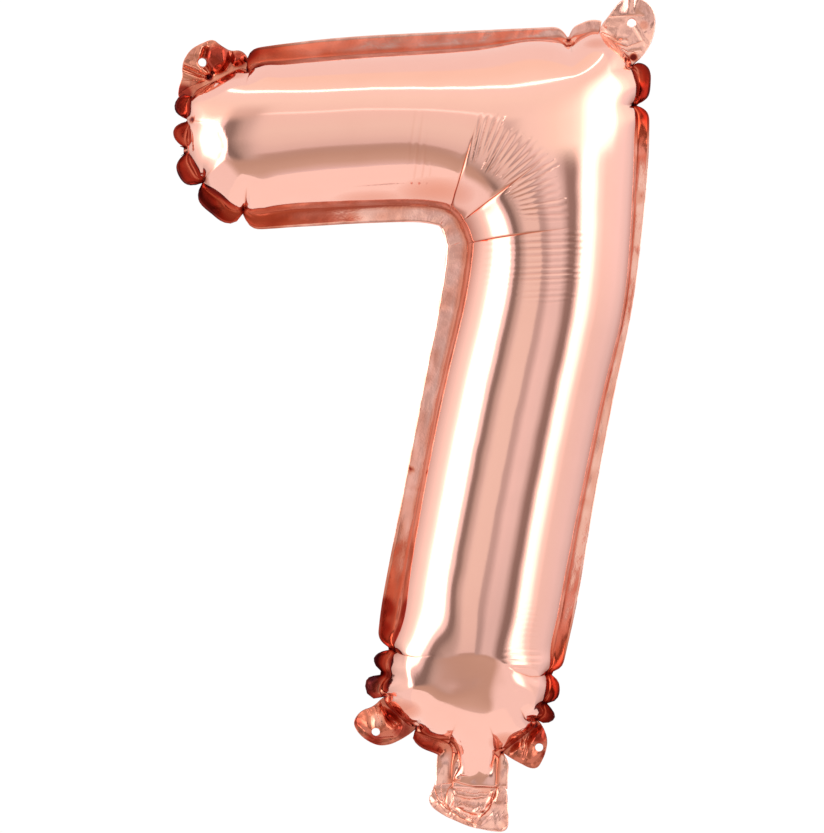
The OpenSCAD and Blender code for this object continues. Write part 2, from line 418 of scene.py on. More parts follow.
# The crease that closes off the rounded tip of the arm.
TIP = [(-116, 142.4), (-108, 142.1), (-102.3, 140.6), (-96, 139.7), (-91.7, 136.8),
       (-88.8, 131), (-88.8, 126.7), (-91.2, 121.9), (-96, 117.6), (-100.8, 112.8), (-106, 107)]

# Folds that lead into the neck, given like the valleys.
NECK_FOLDS = [
    ([(19, -179), (20, -174), (21, -168), (16.6, -157), (20.5, -146)], 1.5, 2.0, 0.5),
    ([(40, -179), (41, -172), (41.5, -162), (38.6, -154), (36.4, -147)], 1.5, 2.0, 0.5),
]
print("creases:", len(SHARP_CREASES), "pucker valleys:", len(PUCKER_VALLEYS))

# %% [markdown]
# The crimps are pleats of one spacing that fan round the inside of the corner. Where the
# stem begins they turn into level wrinkles. Each has its own length and strength, drawn from
# the seeded generator so that it comes out the same every time.

# %% Crimps
CORNER = (21.5, 93.5)
CRIMP_STEP_DEG = 4.2
CRIMP_MM = 0.085
CRIMPS = 64

crimp_table = rng.uniform(0.55, 1.25, CRIMPS)
crimp_shift = 2 * rng.uniform(-1.5, 1.5, CRIMPS)


def corner_crimps(x, z):
    """Phase in turns and height of the fan of pleats."""
    dx, dz = x - CORNER[0], z - CORNER[1]
    r = np.hypot(dx, dz)
    angle = np.degrees(np.arctan2(dz, dx))
    turn = angle / CRIMP_STEP_DEG
    which = np.clip(np.round(turn).astype(int) + 20, 0, CRIMPS - 1)
    length = crimp_shift[which]
    inner = smoothstep(26 + length, 34 + length, r)
    outer = 1 - smoothstep(44 + length, 53 + length, r)
    fan = smoothstep(-4, 2, angle) * (1 - smoothstep(76, 84, angle))
    return turn, CRIMP_MM * crimp_table[which] * inner * outer * fan


print("crimps in the fan:", round(80 / CRIMP_STEP_DEG))

# %% [markdown]
# Elsewhere the spare film shows as groups of parallel wrinkles. In a group they share a
# direction, in degrees, and a spacing in millimetres. Each patch is an oval with a centre, a
# half size and a height. The groups don't meet, so at each point the strongest pleat counts.

# %% Wrinkles
WRINKLES = [
    (2, 2.9, [((62, 80), (17, 6), 0.07), ((62, 68), (18, 6), 0.065), ((40, 72), (9, 14), 0.03),
              ((62, 57), (14, 4), 0.035), ((76, 82), (6, 6), 0.05)]),
    (82, 3.4, [((4, 110), (6, 14), 0.05), ((2, 129), (5, 16), 0.03)]),
    (-3, 2.8, [((52, -115), (9, 6), 0.05), ((55, -98), (6, 14), 0.02)]),
]


def wrinkles(x, z, along_deg, spacing, patches):
    """Phase and height of a group of parallel wrinkles."""
    a = math.radians(along_deg)
    t = -x * math.sin(a) + z * math.cos(a)
    height = np.zeros(x.shape)
    for centre, size, high in patches:
        s = ((x - centre[0]) / size[0]) ** 2 + ((z - centre[1]) / size[1]) ** 2
        height = np.maximum(height, high * np.exp(-s ** 2))
    return t / spacing + 0.15 * np.sin(t / 5), height


def pleats(x, z):
    """Phase and height of whichever pleats are strongest at each point."""
    turn, height = corner_crimps(x, z)
    for group in WRINKLES:
        t, h = wrinkles(x, z, *group)
        turn = np.where(h > height, t, turn)
        height = np.maximum(h, height)
    return turn, height * smoothstep(0.004, 0.02, height)


print("groups of wrinkles:", len(WRINKLES))

# %% [markdown]
# A sharp crease is carried as the distance to its line, which the material turns into a narrow
# valley. Distances are only worth something close to the line: halfway between two creases
# the sign would jump, so the depth is let down to nothing before that.

# %% Distance to the nearest crease
CREASE_ENDS_MM = (3, 5)


def sharp_creases(x, z, lines):
    """Signed distance to the nearest sharp crease, its depth there, and its painted shade."""
    gap, depth_here, dark = np.full(x.shape, 99.0), np.zeros(x.shape), np.zeros(x.shape)
    for line, deep, painted_fold_shade, fade in lines:
        g, along = from_polyline(x, z, line)
        strength = 1 - smoothstep(1 - fade, 1.0, along)
        strength *= 1 - smoothstep(*CREASE_ENDS_MM, np.abs(g))
        nearer = np.abs(g) < np.abs(gap)
        gap = np.where(nearer, g, gap)
        depth_here = np.where(nearer, deep * strength, depth_here)
        dark = np.where(nearer, painted_fold_shade * strength, dark)
    return gap, depth_here, dark

# %% [markdown]
# The broad folds are moved in the mesh itself. Two of them are steps and not valleys: at the
# shoulder, and at the tip of the arm, the film beyond the line lies a little lower.

# %% Broad folds
SHOULDER_STEP_MM, SHOULDER_REACH_MM = 1.1, 13.0
TIP_STEP_MM, TIP_REACH_MM, TIP_LIP_MM = 1.2, 8.0, 0.7


def step_down(x, z, line, drop, reach, lip=0.0):
    """A surface that falls away on the right-hand side of a line, from a soft raised lip."""
    gap, _ = from_polyline(x, z, line)
    fall = np.clip(-gap / reach, 0, 1)
    return lip * np.exp(-np.maximum(gap, 0) / reach) - (drop + lip) * fall * (2 - fall)


def relief(x, z):
    """The broad folds of the blown-up film, in millimetres along its normal."""
    d = np.zeros(x.shape)
    for line, deep, wide, fade in PUCKER_VALLEYS + NECK_FOLDS:
        d += crease(x, z, line, deep, wide, fade)
    d += step_down(x, z, SHOULDER, SHOULDER_STEP_MM, SHOULDER_REACH_MM)
    d += step_down(x, z, TIP, TIP_STEP_MM, TIP_REACH_MM, TIP_LIP_MM)
    return d

# %% [markdown]
# Film is never perfectly even between its folds either. A slow unevenness of a few hundredths
# of a millimetre makes the long reflections waver a little, as they do on the real thing. It
# is smooth value noise: random numbers on a coarse grid, blended between.

# %% Slow unevenness
def value_noise(x, z, cell, seed):
    """Smooth random values from -1 to 1, with features of about one cell."""
    grid = np.random.default_rng(seed).uniform(-1, 1, (96, 96))
    gx, gz = x / cell + 48, z / cell + 48
    i, j = np.floor(gx).astype(int) % 95, np.floor(gz).astype(int) % 95
    fx, fz = gx - np.floor(gx), gz - np.floor(gz)
    fx, fz = fx * fx * (3 - 2 * fx), fz * fz * (3 - 2 * fz)
    low = grid[i, j] * (1 - fx) + grid[i + 1, j] * fx
    high = grid[i, j + 1] * (1 - fx) + grid[i + 1, j + 1] * fx
    return low * (1 - fz) + high * fz


def facets(x, z, cell, seed):
    """Flat-faced random relief, as in crumpled film: random heights joined by flat triangles."""
    heights = np.random.default_rng(seed).uniform(-1, 1, (96, 96))
    wx = x + 0.45 * cell * value_noise(x, z, cell * 1.3, seed + 1)
    wz = z + 0.45 * cell * value_noise(x, z, cell * 1.3, seed + 2)
    gx, gz = wx / cell + 48, wz / cell + 48
    i, j = np.floor(gx).astype(int) % 95, np.floor(gz).astype(int) % 95
    fx, fz = gx - np.floor(gx), gz - np.floor(gz)
    a, b = heights[i, j], heights[i + 1, j + 1]
    c = np.where(fx > fz, heights[i + 1, j], heights[i, j + 1])
    big, small = np.maximum(fx, fz), np.minimum(fx, fz)
    return a * (1 - big) + c * (big - small) + b * small

# %% [markdown]
# Now the front of the tube can be made: the depth first, then the folds along the surface's own
# normals, and last the slow unevenness. The neck gets small facets, from the hand that closed it.

# %% Front of the tube
# Unevenness: height and cell in mm, and seed. The facets of the neck are given the same way.
UNEVENNESS = [(0.06, 23, 3), (0.03, 9, 4)]
NECK_FACETS = (0.55, 4.5, 77)
FACETS_BELOW, FACETS_FULL = -157, -168
FOLDS_START_MM, LEAST_DEPTH_MM = 2.5, 0.05


def grid_normals(s):
    """Unit normals of a grid of points, from its neighbours."""
    du = np.gradient(s, axis=0)
    dv = np.gradient(s, axis=1)
    n = np.cross(du, dv)
    n /= np.maximum(np.linalg.norm(n, axis=-1), 1e-9)[..., None]
    return n


flat_x, flat_z = flat[..., 0], flat[..., 1]
surface = np.stack([flat_x, -depth, flat_z], axis=-1)
normal = grid_normals(surface)
if normal[rows // 2, cols // 2, 1] > 0:
    normal = -normal
amount = relief(flat_x, flat_z)
for height, cell, seed in UNEVENNESS:
    amount += height * value_noise(flat_x, flat_z, cell, seed)
height, cell, seed = NECK_FACETS
in_neck = smoothstep(FACETS_BELOW, FACETS_FULL, flat_z)
amount += height * facets(flat_x, flat_z, cell, seed) * in_neck
amount *= smoothstep(0, FOLDS_START_MM, depth)
surface = surface + normal * amount[..., None]
surface[..., 1] = np.minimum(surface[..., 1], -LEAST_DEPTH_MM)
print("folds reach, mm:", round(float(amount.min()), 2), round(float(amount.max()), 2))

# %% [markdown]
# ## The rim
# Outside the weld both sheets run on as a flat rim, about 8 mm wide. Where the weld is
# gathered, the rim's outer edge is too long for its place, so it cups forward into petals
# between the puckers. A cupped petal sees the tube beside it, and the light bounces between
# the two and comes out deep red. The cupped shape gives part of that red in the render, and
# the rest is painted shade in the film's tint.

# %% Rim strips
RIM_COLUMNS = 6
RIM_LEAST_MM = 0.35
PETAL_SHOULDER_MM = 8.0
# Painted shade, 0 to 1, along the weld's edge and on the rim that carries a tab.
WELD_EDGE_SHADE, UNDER_TAB_SHADE = 0.32, 0.8
# Large and fine facets on the rim: size, height on the straight parts, and what the neck adds.
LARGE_MM, LARGE_HEIGHT, LARGE_AT_NECK = 4.5, 0.25, 1.3
FINE_MM, FINE_HEIGHT, FINE_AT_NECK = 2.2, 0.12, 0.6
# Places on the rim with more or less painted shade than the stations give: centre, radius,
# and the painted shade there.
RIM_PLACES = [((-1.0, -26), 1.6, 0.9), ((-6.0, -64), 5.5, 0.45), ((-14, -92), 7, 0.8),
              ((82, 188), 6, 0.12), ((110, 128), 4, 0.0), ((108, 105), 5, 0.25)]


def under_tab(u, side):
    """Where the rim carries a tab, and so has no petal."""
    return np.any([(u > a) & (u < b) for a, b in ROOTS[side]], axis=0)


def rim_strip(side):
    """Points of the rim outside one side's weld, how far out each column is, from 0 to 1, and
    the painted shade at each point, for light caught in the folds."""
    width, lean, painted_fold_shade = spline(STATIONS, row_u)[:, 4 if side > 0 else 5::2].T
    near = np.clip(pinch_distance(row_u, side) / PETAL_SHOULDER_MM, 0, 1)
    petal = np.sqrt(1 - (1 - near) ** 2)
    petal = np.where(under_tab(row_u, side), 0, petal)
    reach = RIM_LEAST_MM + (width - RIM_LEAST_MM) * petal
    q = np.arange(1, RIM_COLUMNS + 1) / RIM_COLUMNS
    out = outward(row_u, side)
    flat_points = weld[side][:, None, :] + out[:, None, :] * (reach[:, None] * q)[..., None]
    px, pz = flat_points[..., 0], flat_points[..., 1]
    curl = lean[:, None] * petal[:, None] * (0.35 * q + 0.65 * q ** 2)
    large = LARGE_HEIGHT + LARGE_AT_NECK * smoothstep(-150, -165, pz)
    fine = FINE_HEIGHT + FINE_AT_NECK * smoothstep(-158, -168, pz)
    rough = large * q * facets(px, pz, LARGE_MM, 21 + side) + fine * q * facets(px, pz, FINE_MM, 31)
    # Painted shade: deeper where the rim is folded, with a line of it along the weld's edge, varied
    # at random.
    deep = np.clip(painted_fold_shade, 0, 1)[:, None] * (0.75 + 0.35 * q)
    deep = np.maximum(deep, WELD_EDGE_SHADE * np.exp(-((q - q[0]) / 0.12) ** 2))
    along = np.interp(row_u, fine_u, fine_length[side])[:, None]
    deep += 0.11 * value_noise(px, pz, 6, 51)
    deep += 0.10 * value_noise(along / 3, 6 * q, 2, 52 + side)
    for centre, radius, value in RIM_PLACES:
        near_place = 1 - smoothstep(0.4, 1, np.hypot(px - centre[0], pz - centre[1]) / radius)
        deep = deep * (1 - near_place) + value * near_place
    deep = np.where(under_tab(row_u, side)[:, None], UNDER_TAB_SHADE, deep)
    return np.stack([px, -curl + rough * petal[:, None], pz], axis=-1), q, deep


strips = {side: rim_strip(side) for side in (1, -1)}
print("rim points on each side:", strips[1][0].size // 3)

# %% [markdown]
# A sheet is one grid: inner rim, tube, outer rim. The back sheet is the front one turned over,
# except that its rim follows the front rim, because the two are welded flat together. A
# Solidify modifier gives the film a thickness. It is 0.15 mm and not the real 0.03 mm, so that
# the two faces stay apart in the render.

# %% Making a piece
FILM_MM = 0.15
SHEET_GAP = 0.07


def new_piece(name, vertices, faces):
    """A smooth mesh object in metres, from points in millimetres."""
    mesh = bpy.data.meshes.new(name)
    mesh.from_pydata((np.asarray(vertices, float) * MM).tolist(), [], np.asarray(faces).tolist())
    mesh.validate()
    mesh.shade_smooth()
    piece = bpy.data.objects.new(name, mesh)
    bpy.context.collection.objects.link(piece)
    print(name, "has", len(mesh.vertices), "vertices")
    return piece


def mark(piece, name, values):
    """Keeps a number for each vertex, which a material can read."""
    attribute = piece.data.attributes.new(name, "FLOAT", "POINT")
    attribute.data.foreach_set("value", np.asarray(values, np.float32).ravel())


def thicken(piece, thickness, offset):
    """Gives the film a thickness in millimetres, to the back (-1) or evenly (0)."""
    solid = piece.modifiers.new("film thickness", "SOLIDIFY")
    solid.thickness = thickness * MM
    solid.offset = offset


def sheet_grid(face):
    """One sheet's grid of points: face -1 is the front, 1 the back."""
    tube = surface.copy()
    tube[..., 1] *= -face
    outer, inner = strips[1][0].copy(), strips[-1][0].copy()
    for strip in (outer, inner):
        strip[..., 1] += face * SHEET_GAP
    return np.concatenate([outer[:, ::-1], tube, inner], axis=1)


def with_rims(values, on_rim=0.0):
    """A value given on the tube's grid, with one value for both rims."""
    return np.pad(values, ((0, 0), (RIM_COLUMNS, RIM_COLUMNS)), constant_values=on_rim)

# %% [markdown]
# Along the weld the tube and the rim meet at an angle. Smooth shading would round that off and
# draw a bright line that isn't there, so those edges are marked sharp.

# %% Sharp welds
def sharpen_welds(mesh, n_cols):
    """Keeps the crease between tube and rim sharp, so that no false highlight runs along it."""
    ends = np.zeros(2 * len(mesh.edges), int)
    mesh.edges.foreach_get("vertices", ends)
    column = ends.reshape(-1, 2) % n_cols
    sharp = column[:, 0] == column[:, 1]
    sharp &= np.isin(column[:, 0], [RIM_COLUMNS, n_cols - 1 - RIM_COLUMNS])
    attribute = mesh.attributes.new("sharp_edge", "BOOLEAN", "EDGE")
    attribute.data.foreach_set("value", sharp)

# %% [markdown]
# Light that meets the film twice is tinted twice. That happens in the tucks at the puckers,
# along the weld, where the tube sees its own rim, and in a few places where two parts of the
# tube face each other. That deeper tint is painted shade: each point of a sheet carries a
# number from 0 to 1 for it, which the film's tint follows.

# %% Painted shade of the folds
KNOT_MM = 2.0


def painted_knot_shade(grid):
    """Painted shade in the tucks where the weld is gathered."""
    shade = np.zeros(grid.shape[:2])
    for side in (1, -1):
        for point in welded(np.array(PINCHES[side], float), side):
            gap = np.hypot(grid[..., 0] - point[0], grid[..., 2] - point[1])
            shade = np.maximum(shade, 1 - smoothstep(0.35 * KNOT_MM, KNOT_MM, gap))
    return shade


# Painted shade along the weld, for each side: station, strength, and reach in mm.
PAINTED_WELD_SHADE = {
    1: [(0, 0.2, 1.5), (4, 0.2, 1.2), (8, 0.2, 1.0), (12, 0.22, 1.0), (17, 0.22, 1.2),
        (19.5, 0.5, 1.2), (23, 0.5, 0.8)],
    -1: [(0, 0.2, 1.5), (4, 0.2, 1.4), (6, 0.3, 2.2), (8, 0.45, 4.2), (12, 0.45, 4.2),
         (14, 0.25, 2.0), (17, 0.22, 1.4), (19.5, 0.5, 1.2), (23, 0.5, 0.8)],
}
# Painted shade in single places: centre, half size, value.
PAINTED_SHADE_SPOTS = [((10, 105), (20, 9), 0.3), ((-18, 103), (22, 5), 0.25), ((45, -157), (9, 6), 0.35),
           ((-5, -141), (9, 6), 0.3), ((88, 178), (7, 3), 0.2), ((-90, 164), (12, 4), 0.35)]


def tube_shade():
    """Painted shade of the tube at each point of its grid: how much redder bounced light makes it.
    """
    shade = np.zeros(flat_x.shape)
    length = np.linalg.norm(half, axis=1)[:, None]
    for side in (1, -1):
        station, strength, reach = np.array(PAINTED_WELD_SHADE[side]).T
        gap = length * (1 - side * np.cos(across)[None, :])
        strong = np.interp(row_u, station, strength)[:, None]
        far = np.interp(row_u, station, reach)[:, None]
        shade = np.maximum(shade, strong * np.exp(-(gap / far) ** 1.6))
    for centre, size, value in PAINTED_SHADE_SPOTS:
        d2 = ((flat_x - centre[0]) / size[0]) ** 2 + ((flat_z - centre[1]) / size[1]) ** 2
        shade = np.maximum(shade, value * np.clip(1 - d2, 0, 1) ** 0.8)
    return shade


print("deepest by the weld, 0 to 1:", round(float(tube_shade().max()), 2))

# %% [markdown]
# With everything worked out, each sheet is one mesh with a few numbers at every vertex: how far
# it is from the nearest crease, which way its pleats run, how much painted shade it gets, and
# whether it belongs to the welded rim.

# %% The two sheets
def mark_creases(piece, gap, crease_mm, dark):
    mark(piece, "crease_gap", gap)
    mark(piece, "crease_mm", crease_mm)
    mark(piece, "crease_dark", dark)


def make_sheet(name, face, node):
    """One sheet of film, in the place of a CAD node: face -1 is the front, 1 the back."""
    grid = sheet_grid(face)
    n_rows, n_cols = grid.shape[:2]
    faces = grid_quads(n_rows, n_cols)
    if face < 0:
        faces = faces[:, ::-1]
    piece = new_piece(name, grid.reshape(-1, 3), faces)
    out = np.concatenate([strips[1][1][::-1], np.zeros(cols), strips[-1][1]])
    mark(piece, "rim", np.tile(np.minimum(out * RIM_COLUMNS, 1), n_rows))
    gap, crease_mm, dark = sharp_creases(flat_x, flat_z, SHARP_CREASES)
    turn, pleat_mm = (with_rims(v) for v in pleats(flat_x, flat_z))
    mark_creases(piece, with_rims(gap, 99.0), with_rims(crease_mm), with_rims(dark))
    mark(piece, "pleat_turn", turn)
    mark(piece, "pleat_mm", pleat_mm)
    # Painted shade of the rims, the tube and the tucks, which the film's tint follows.
    rim_shade = np.hstack([strips[1][2][:, ::-1], tube_shade(), strips[-1][2]])
    mark(piece, "deep", np.maximum(rim_shade, painted_knot_shade(grid)))
    sharpen_welds(piece.data, n_cols)
    thicken(piece, FILM_MM, -1)
    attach(piece, "envelope")
    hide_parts(node)


make_sheet("front_sheet", -1, "front_panel")
make_sheet("back_sheet", 1, "back_panel")

# %% [markdown]
# ## The tabs
# Outside the rim at four corners the sheets carry a tab with a punched hole, for a ribbon. A
# tab isn't welded or blown up, so it is simply two flat plies that have been handled: broad
# bends, a few sharp folds and small facets. The outline is filled with points and triangulated
# by Delaunay's rule, which a folded sheet needs, because its facets run in every direction.
# The lobes are where the tab has curled over. Its deepest places get painted shade, as light
# there only gets out after meeting the film two or three times.

# %% Flaps of film
FLAP_STEP_MM = 0.55
ROW_RATIO = 0.87
HOLE_MM, HOLE_CORNERS = 4.0, 32
JITTER_MM = 0.08


def rounded(outline, times=2):
    """A closed outline with its corners cut off twice, by Chaikin's rule."""
    p = np.asarray(outline, float)
    for _ in range(times):
        q = np.roll(p, -1, axis=0)
        p = np.stack([0.75 * p + 0.25 * q, 0.25 * p + 0.75 * q], axis=1).reshape(-1, 2)
    return p


def inside(polygon, p):
    """Which points lie inside an outline: a ray from each crosses it an odd number of times."""
    a, b = polygon, np.roll(polygon, -1, axis=0)
    x, z = p[:, 0][:, None], p[:, 1][:, None]
    crosses = (a[:, 1] > z) != (b[:, 1] > z)
    at = a[:, 0] + (z - a[:, 1]) / (b[:, 1] - a[:, 1] + 1e-12) * (b[:, 0] - a[:, 0])
    return (crosses & (x < at)).sum(axis=1) % 2 == 1


def resampled(line, step):
    """A closed outline with points an even step apart."""
    line = np.vstack([line, line[:1]])
    length = path_length(line)
    s = np.linspace(0, length[-1], max(int(length[-1] / step), 8) + 1)[:-1]
    return np.stack([np.interp(s, length, line[:, k]) for k in (0, 1)], axis=1)

# %% [markdown]
# A flap is filled with points about half a millimetre apart, a little out of line so that no
# row of them shows. Its edge and its hole are kept as given.

# %% Fill an outline
def fill(outline, hole=None, seed=1):
    """Points and triangles that fill an outline, with a round hole if one is given."""
    edge = resampled(outline, FLAP_STEP_MM)
    low, high = edge.min(axis=0), edge.max(axis=0)
    gx, gz = np.meshgrid(np.arange(low[0], high[0], FLAP_STEP_MM),
                         np.arange(low[1], high[1], FLAP_STEP_MM * ROW_RATIO))
    gx[1::2] += FLAP_STEP_MM / 2
    grid = np.stack([gx.ravel(), gz.ravel()], axis=1)
    grid += np.random.default_rng(seed).uniform(-JITTER_MM, JITTER_MM, grid.shape)
    grid = grid[inside(edge, grid)]
    near_edge = np.linalg.norm(grid[:, None] - edge[None], axis=2).min(axis=1)
    grid = grid[near_edge > 0.6 * FLAP_STEP_MM]
    loops = [edge]
    if hole is not None:
        r = HOLE_MM / 2
        grid = grid[np.linalg.norm(grid - hole, axis=1) > r + 0.5 * FLAP_STEP_MM]
        turn = np.linspace(0, 2 * np.pi, HOLE_CORNERS, endpoint=False)
        loops.append(np.asarray(hole) + r * np.stack([np.cos(turn), np.sin(turn)], axis=1))
    corners, start = [], 0
    for loop in loops:
        n = len(loop)
        corners += [(start + k, start + (k + 1) % n) for k in range(n)]
        start += n
    every = np.vstack(loops + [grid])
    out = delaunay_2d_cdt([Vector(p) for p in every], corners, [], 1, 1e-5)
    points = np.array([tuple(v) for v in out[0]])
    faces = np.array([f for f in out[2] if len(f) == 3])
    centre = points[faces].mean(axis=1)
    keep = inside(edge, centre)
    if hole is not None:
        keep &= np.linalg.norm(centre - hole, axis=1) > HOLE_MM / 2 * 0.99
    return points, faces[keep]


print("points about", FLAP_STEP_MM, "mm apart")

# %% [markdown]
# What a handled flap looks like comes from two functions. One lifts it: curled lobes, bends,
# folds and facets, added up. The other gives each point a painted shade, for light caught in
# its folds, which the material turns into a deeper tint.

# %% Crumple a flap
TAB_FACET_MM, TAB_FINE_MM, TAB_FINE_HEIGHT = 6.0, 2.4, 0.15


def lobe(x, z, centre, size, height):
    """A smooth bulge with an oval foot."""
    d2 = ((x - centre[0]) / size[0]) ** 2 + ((z - centre[1]) / size[1]) ** 2
    return height * np.clip(1 - d2, 0, 1) ** 1.3


def flap_relief(x, z, spec, seed):
    """How far the crumpled flap stands towards the front, in millimetres."""
    y = np.zeros(x.shape)
    for centre, size, height in spec["lobes"]:
        y = np.maximum(y, lobe(x, z, centre, size, height))
    for point, towards_deg, tilt_deg in spec["bends"]:
        turn = math.radians(towards_deg)
        s = (x - point[0]) * math.cos(turn) + (z - point[1]) * math.sin(turn)
        y += math.tan(math.radians(tilt_deg)) * 0.5 * (s + np.sqrt(s * s + 1))
    for line, deep, wide, fade in spec["folds"]:
        y += crease(x, z, line, deep, wide, fade)
    y += spec["facet"] * facets(x, z, TAB_FACET_MM, seed)
    y += TAB_FINE_HEIGHT * facets(x, z, TAB_FINE_MM, seed + 5)
    return y


def flap_painted_shade(x, z, spec):
    """Painted shade for light caught in the folds: a base for the whole flap, and darker or paler
    places.
    """
    d = np.full(x.shape, spec["base"])
    for centre, radius, value in spec["deep"]:
        gap = np.hypot(x - centre[0], z - centre[1]) / radius
        share = 1 - smoothstep(0.5, 1.15, gap)
        d = d * (1 - share) + value * share
    return d

# %% [markdown]
# Each tab is described the way one would describe it aloud. `root` has the ends of the fold
# along the weld, `outline` and `hole` its cut. `lobes` are places where it has curled: centre,
# half size, height towards the front. `folds` are valleys in the mesh: points, depth, width,
# fade. `lines` are sharp creases for the material: points, depth, painted shade, fade. `bends`
# turn a part of it: a point of the bend line, the direction of the bent part in degrees, and the
# angle towards the front. `base` is the painted shade of the whole tab, for light caught in its
# folds, `deep` gives single places of it, and `facet` is the height of the small facets.

# %% The four tabs
TABS = {
    "top_left": dict(
        root=[(-107, 155), (-80.5, 168.5)],
        outline=[(-105, 152), (-110.5, 150), (-113.2, 153.5), (-112.4, 159), (-110.6, 163.5),
                 (-111.2, 169), (-107.2, 176), (-101, 179.3), (-96, 181.2), (-92.6, 178),
                 (-87.9, 175.4), (-83, 176), (-79.4, 172.8), (-79.4, 168), (-80.8, 165.6),
                 (-93.7, 161.7)],
        hole=(-101.3, 170),
        lobes=[((-93.5, 172), (7.0, 8), 5.0), ((-83.5, 171.5), (4.5, 4), 2.6)],
        folds=[([(-111, 168), (-104, 165), (-97.8, 162.8)], 2.2, 0.9, 0.05),
               ([(-97, 164), (-101.5, 170), (-99, 178)], 2.0, 1.0, 0.1),
               ([(-103, 158), (-98, 163)], 1.2, 0.8, 0.1),
               ([(-88.5, 176), (-88, 170), (-90, 166)], 1.4, 1.0, 0.2)],
        lines=[([(-110.9, 165.6), (-98.9, 162.2)], 0.3, 0.9, 0.05),
               ([(-98.9, 178.6), (-100.4, 171.8), (-102.3, 168), (-98.9, 161.3)], 0.3, 0.6, 0.05),
               ([(-110.4, 156.5), (-107.1, 158.4), (-99.4, 161.3)], 0.3, 0.7, 0.05),
               ([(-86.9, 176), (-87.9, 169.9), (-91.7, 165.1)], 0.3, 0.9, 0.1)],
        bends=[((-104, 165), 120, 14), ((-106, 160), -60, -10)],
        base=0.34,
        deep=[((-93.5, 172), 8.5, 0.74), ((-83.5, 171.5), 4.8, 0.72), ((-98, 163), 2.2, 1.0),
              ((-104, 159.5), 4.0, 0.55), ((-110.5, 155), 5.5, 0.8)],
        facet=0.6),
    "top_right": dict(
        root=[(89.5, 184), (106.5, 170)],
        outline=[(89.5, 184), (90.5, 188), (94.5, 193), (99, 199.3), (104, 201.6), (110, 200.5),
                 (115.6, 196), (117, 188.5), (115, 180), (111, 173.5), (106.8, 169.6),
                 (104.6, 168.2), (98, 177)],
        hole=(105.1, 189),
        lobes=[],
        folds=[([(106, 201), (105.8, 193.5)], 0.35, 0.9, 0.1),
               ([(107, 187), (110.5, 181), (112.5, 178)], 0.5, 0.7, 0.1),
               ([(99, 180.6), (103.5, 180.8)], 0.7, 0.6, 0.2),
               ([(103.5, 175), (110, 176)], 0.7, 0.6, 0.1)],
        lines=[([(89.7, 183.4), (95.5, 178.6), (106, 170.6)], 0.3, 0.7, 0.02),
               ([(91.5, 184.5), (96.5, 182), (99, 179.5)], 0.25, 0.4, 0.2),
               ([(97.5, 179), (103, 177.5), (112.8, 181.4)], 0.25, 0.35, 0.3),
               ([(94, 192.3), (104, 192.6), (111.8, 192.5)], 0.3, 0.3, 0.1)],
        bends=[((103.5, 192), 150, -21), ((105.5, 192.5), 70, 15), ((110.5, 190), 0, -10),
               ((104, 178), -60, 8)],
        base=0.04,
        deep=[((106, 172.5), 2.2, 0.9), ((111, 188), 2.6, 0.3), ((96, 179.5), 4.5, 0.3)],
        facet=0.18),
    "bottom_left": dict(
        root=[(-15.5, -136), (0.5, -151)],
        outline=[(-13.2, -134.6), (-15.5, -136), (-19, -139.6), (-25, -141.5), (-28.8, -146.4),
                 (-27.5, -151), (-23, -155.5), (-17, -158.6), (-11, -158), (-5, -155.2),
                 (0.8, -151.2), (2, -148.8), (-7.5, -143.5)],
        hole=(-17.9, -151.6),
        lobes=[((-16, -147.6), (11.5, 9.5), 5.5)],
        folds=[([(-13, -138), (-11.5, -145), (-6, -150)], 1.2, 1.2, 0.3),
               ([(-20.3, -141.8), (-19.5, -152)], 0.6, 0.9, 0.1),
               ([(-15.4, -141.8), (-15.6, -152)], 0.5, 0.9, 0.1),
               ([(-27, -148), (-18, -155), (-8, -154.5)], 0.9, 1.0, 0.1)],
        lines=[([(-15.4, -137.8), (-13, -144), (-8.7, -149.8)], 0.3, 0.8, 0.1),
               ([(-20.3, -141.8), (-19.8, -151)], 0.2, 0.5, 0.2)],
        bends=[],
        base=0.55,
        deep=[((-10.5, -144), 4.2, 0.8), ((-17.5, -146), 4.0, 0.25), ((-19, -156), 5.0, 0.75),
              ((-27, -147), 3.0, 0.7), ((-5, -151), 4.5, 0.72)],
        facet=0.3),
    "bottom_right": dict(
        root=[(60.9, -147.5), (42.7, -161.5)],
        outline=[(59, -145.4), (61.2, -147.3), (62.8, -150), (64.6, -155), (64.2, -160.5),
                 (62, -166), (59.8, -169.4), (56, -169.4), (51, -166.6), (47, -164.4),
                 (42.7, -161.5), (41.4, -159.6), (52, -154.5)],
        hole=(60.6, -159.2),
        lobes=[((60.5, -153), (5.5, 8), 2.8), ((52.5, -161), (8, 6), 2.2)],
        folds=[([(57.5, -149), (55, -156), (53.5, -166)], 1.3, 1.1, 0.1),
               ([(51.5, -155.8), (52.4, -160.5)], 0.9, 0.7, 0.1),
               ([(62, -163), (57, -168)], 0.8, 0.8, 0.1)],
        lines=[([(56.6, -149.8), (54.2, -157.9), (52.3, -165.1)], 0.3, 0.8, 0.1),
               ([(52.3, -154.5), (51.5, -160.5)], 0.25, 0.7, 0.1)],
        bends=[],
        base=0.56,
        deep=[((60.5, -153), 5.0, 0.78), ((49.5, -157), 3.0, 0.72), ((63.5, -163), 2.5, 0.75),
              ((52.3, -158), 1.6, 0.2), ((58.6, -148.6), 1.8, 1.0)],
        facet=0.3),
}
print("tabs:", list(TABS))

# %% [markdown]
# The same few functions shape all four. A tab stays flat for its first millimetres, where it
# leaves the weld, so that it joins the rim. When its hinge turns, it bends over a band of three
# millimetres, as film does, and not at a line.

# %% Shape and join the tabs
TAB_WELDED, TAB_FLAT_MM = 0.6, 4
FIRST_TAB_SEED = 60


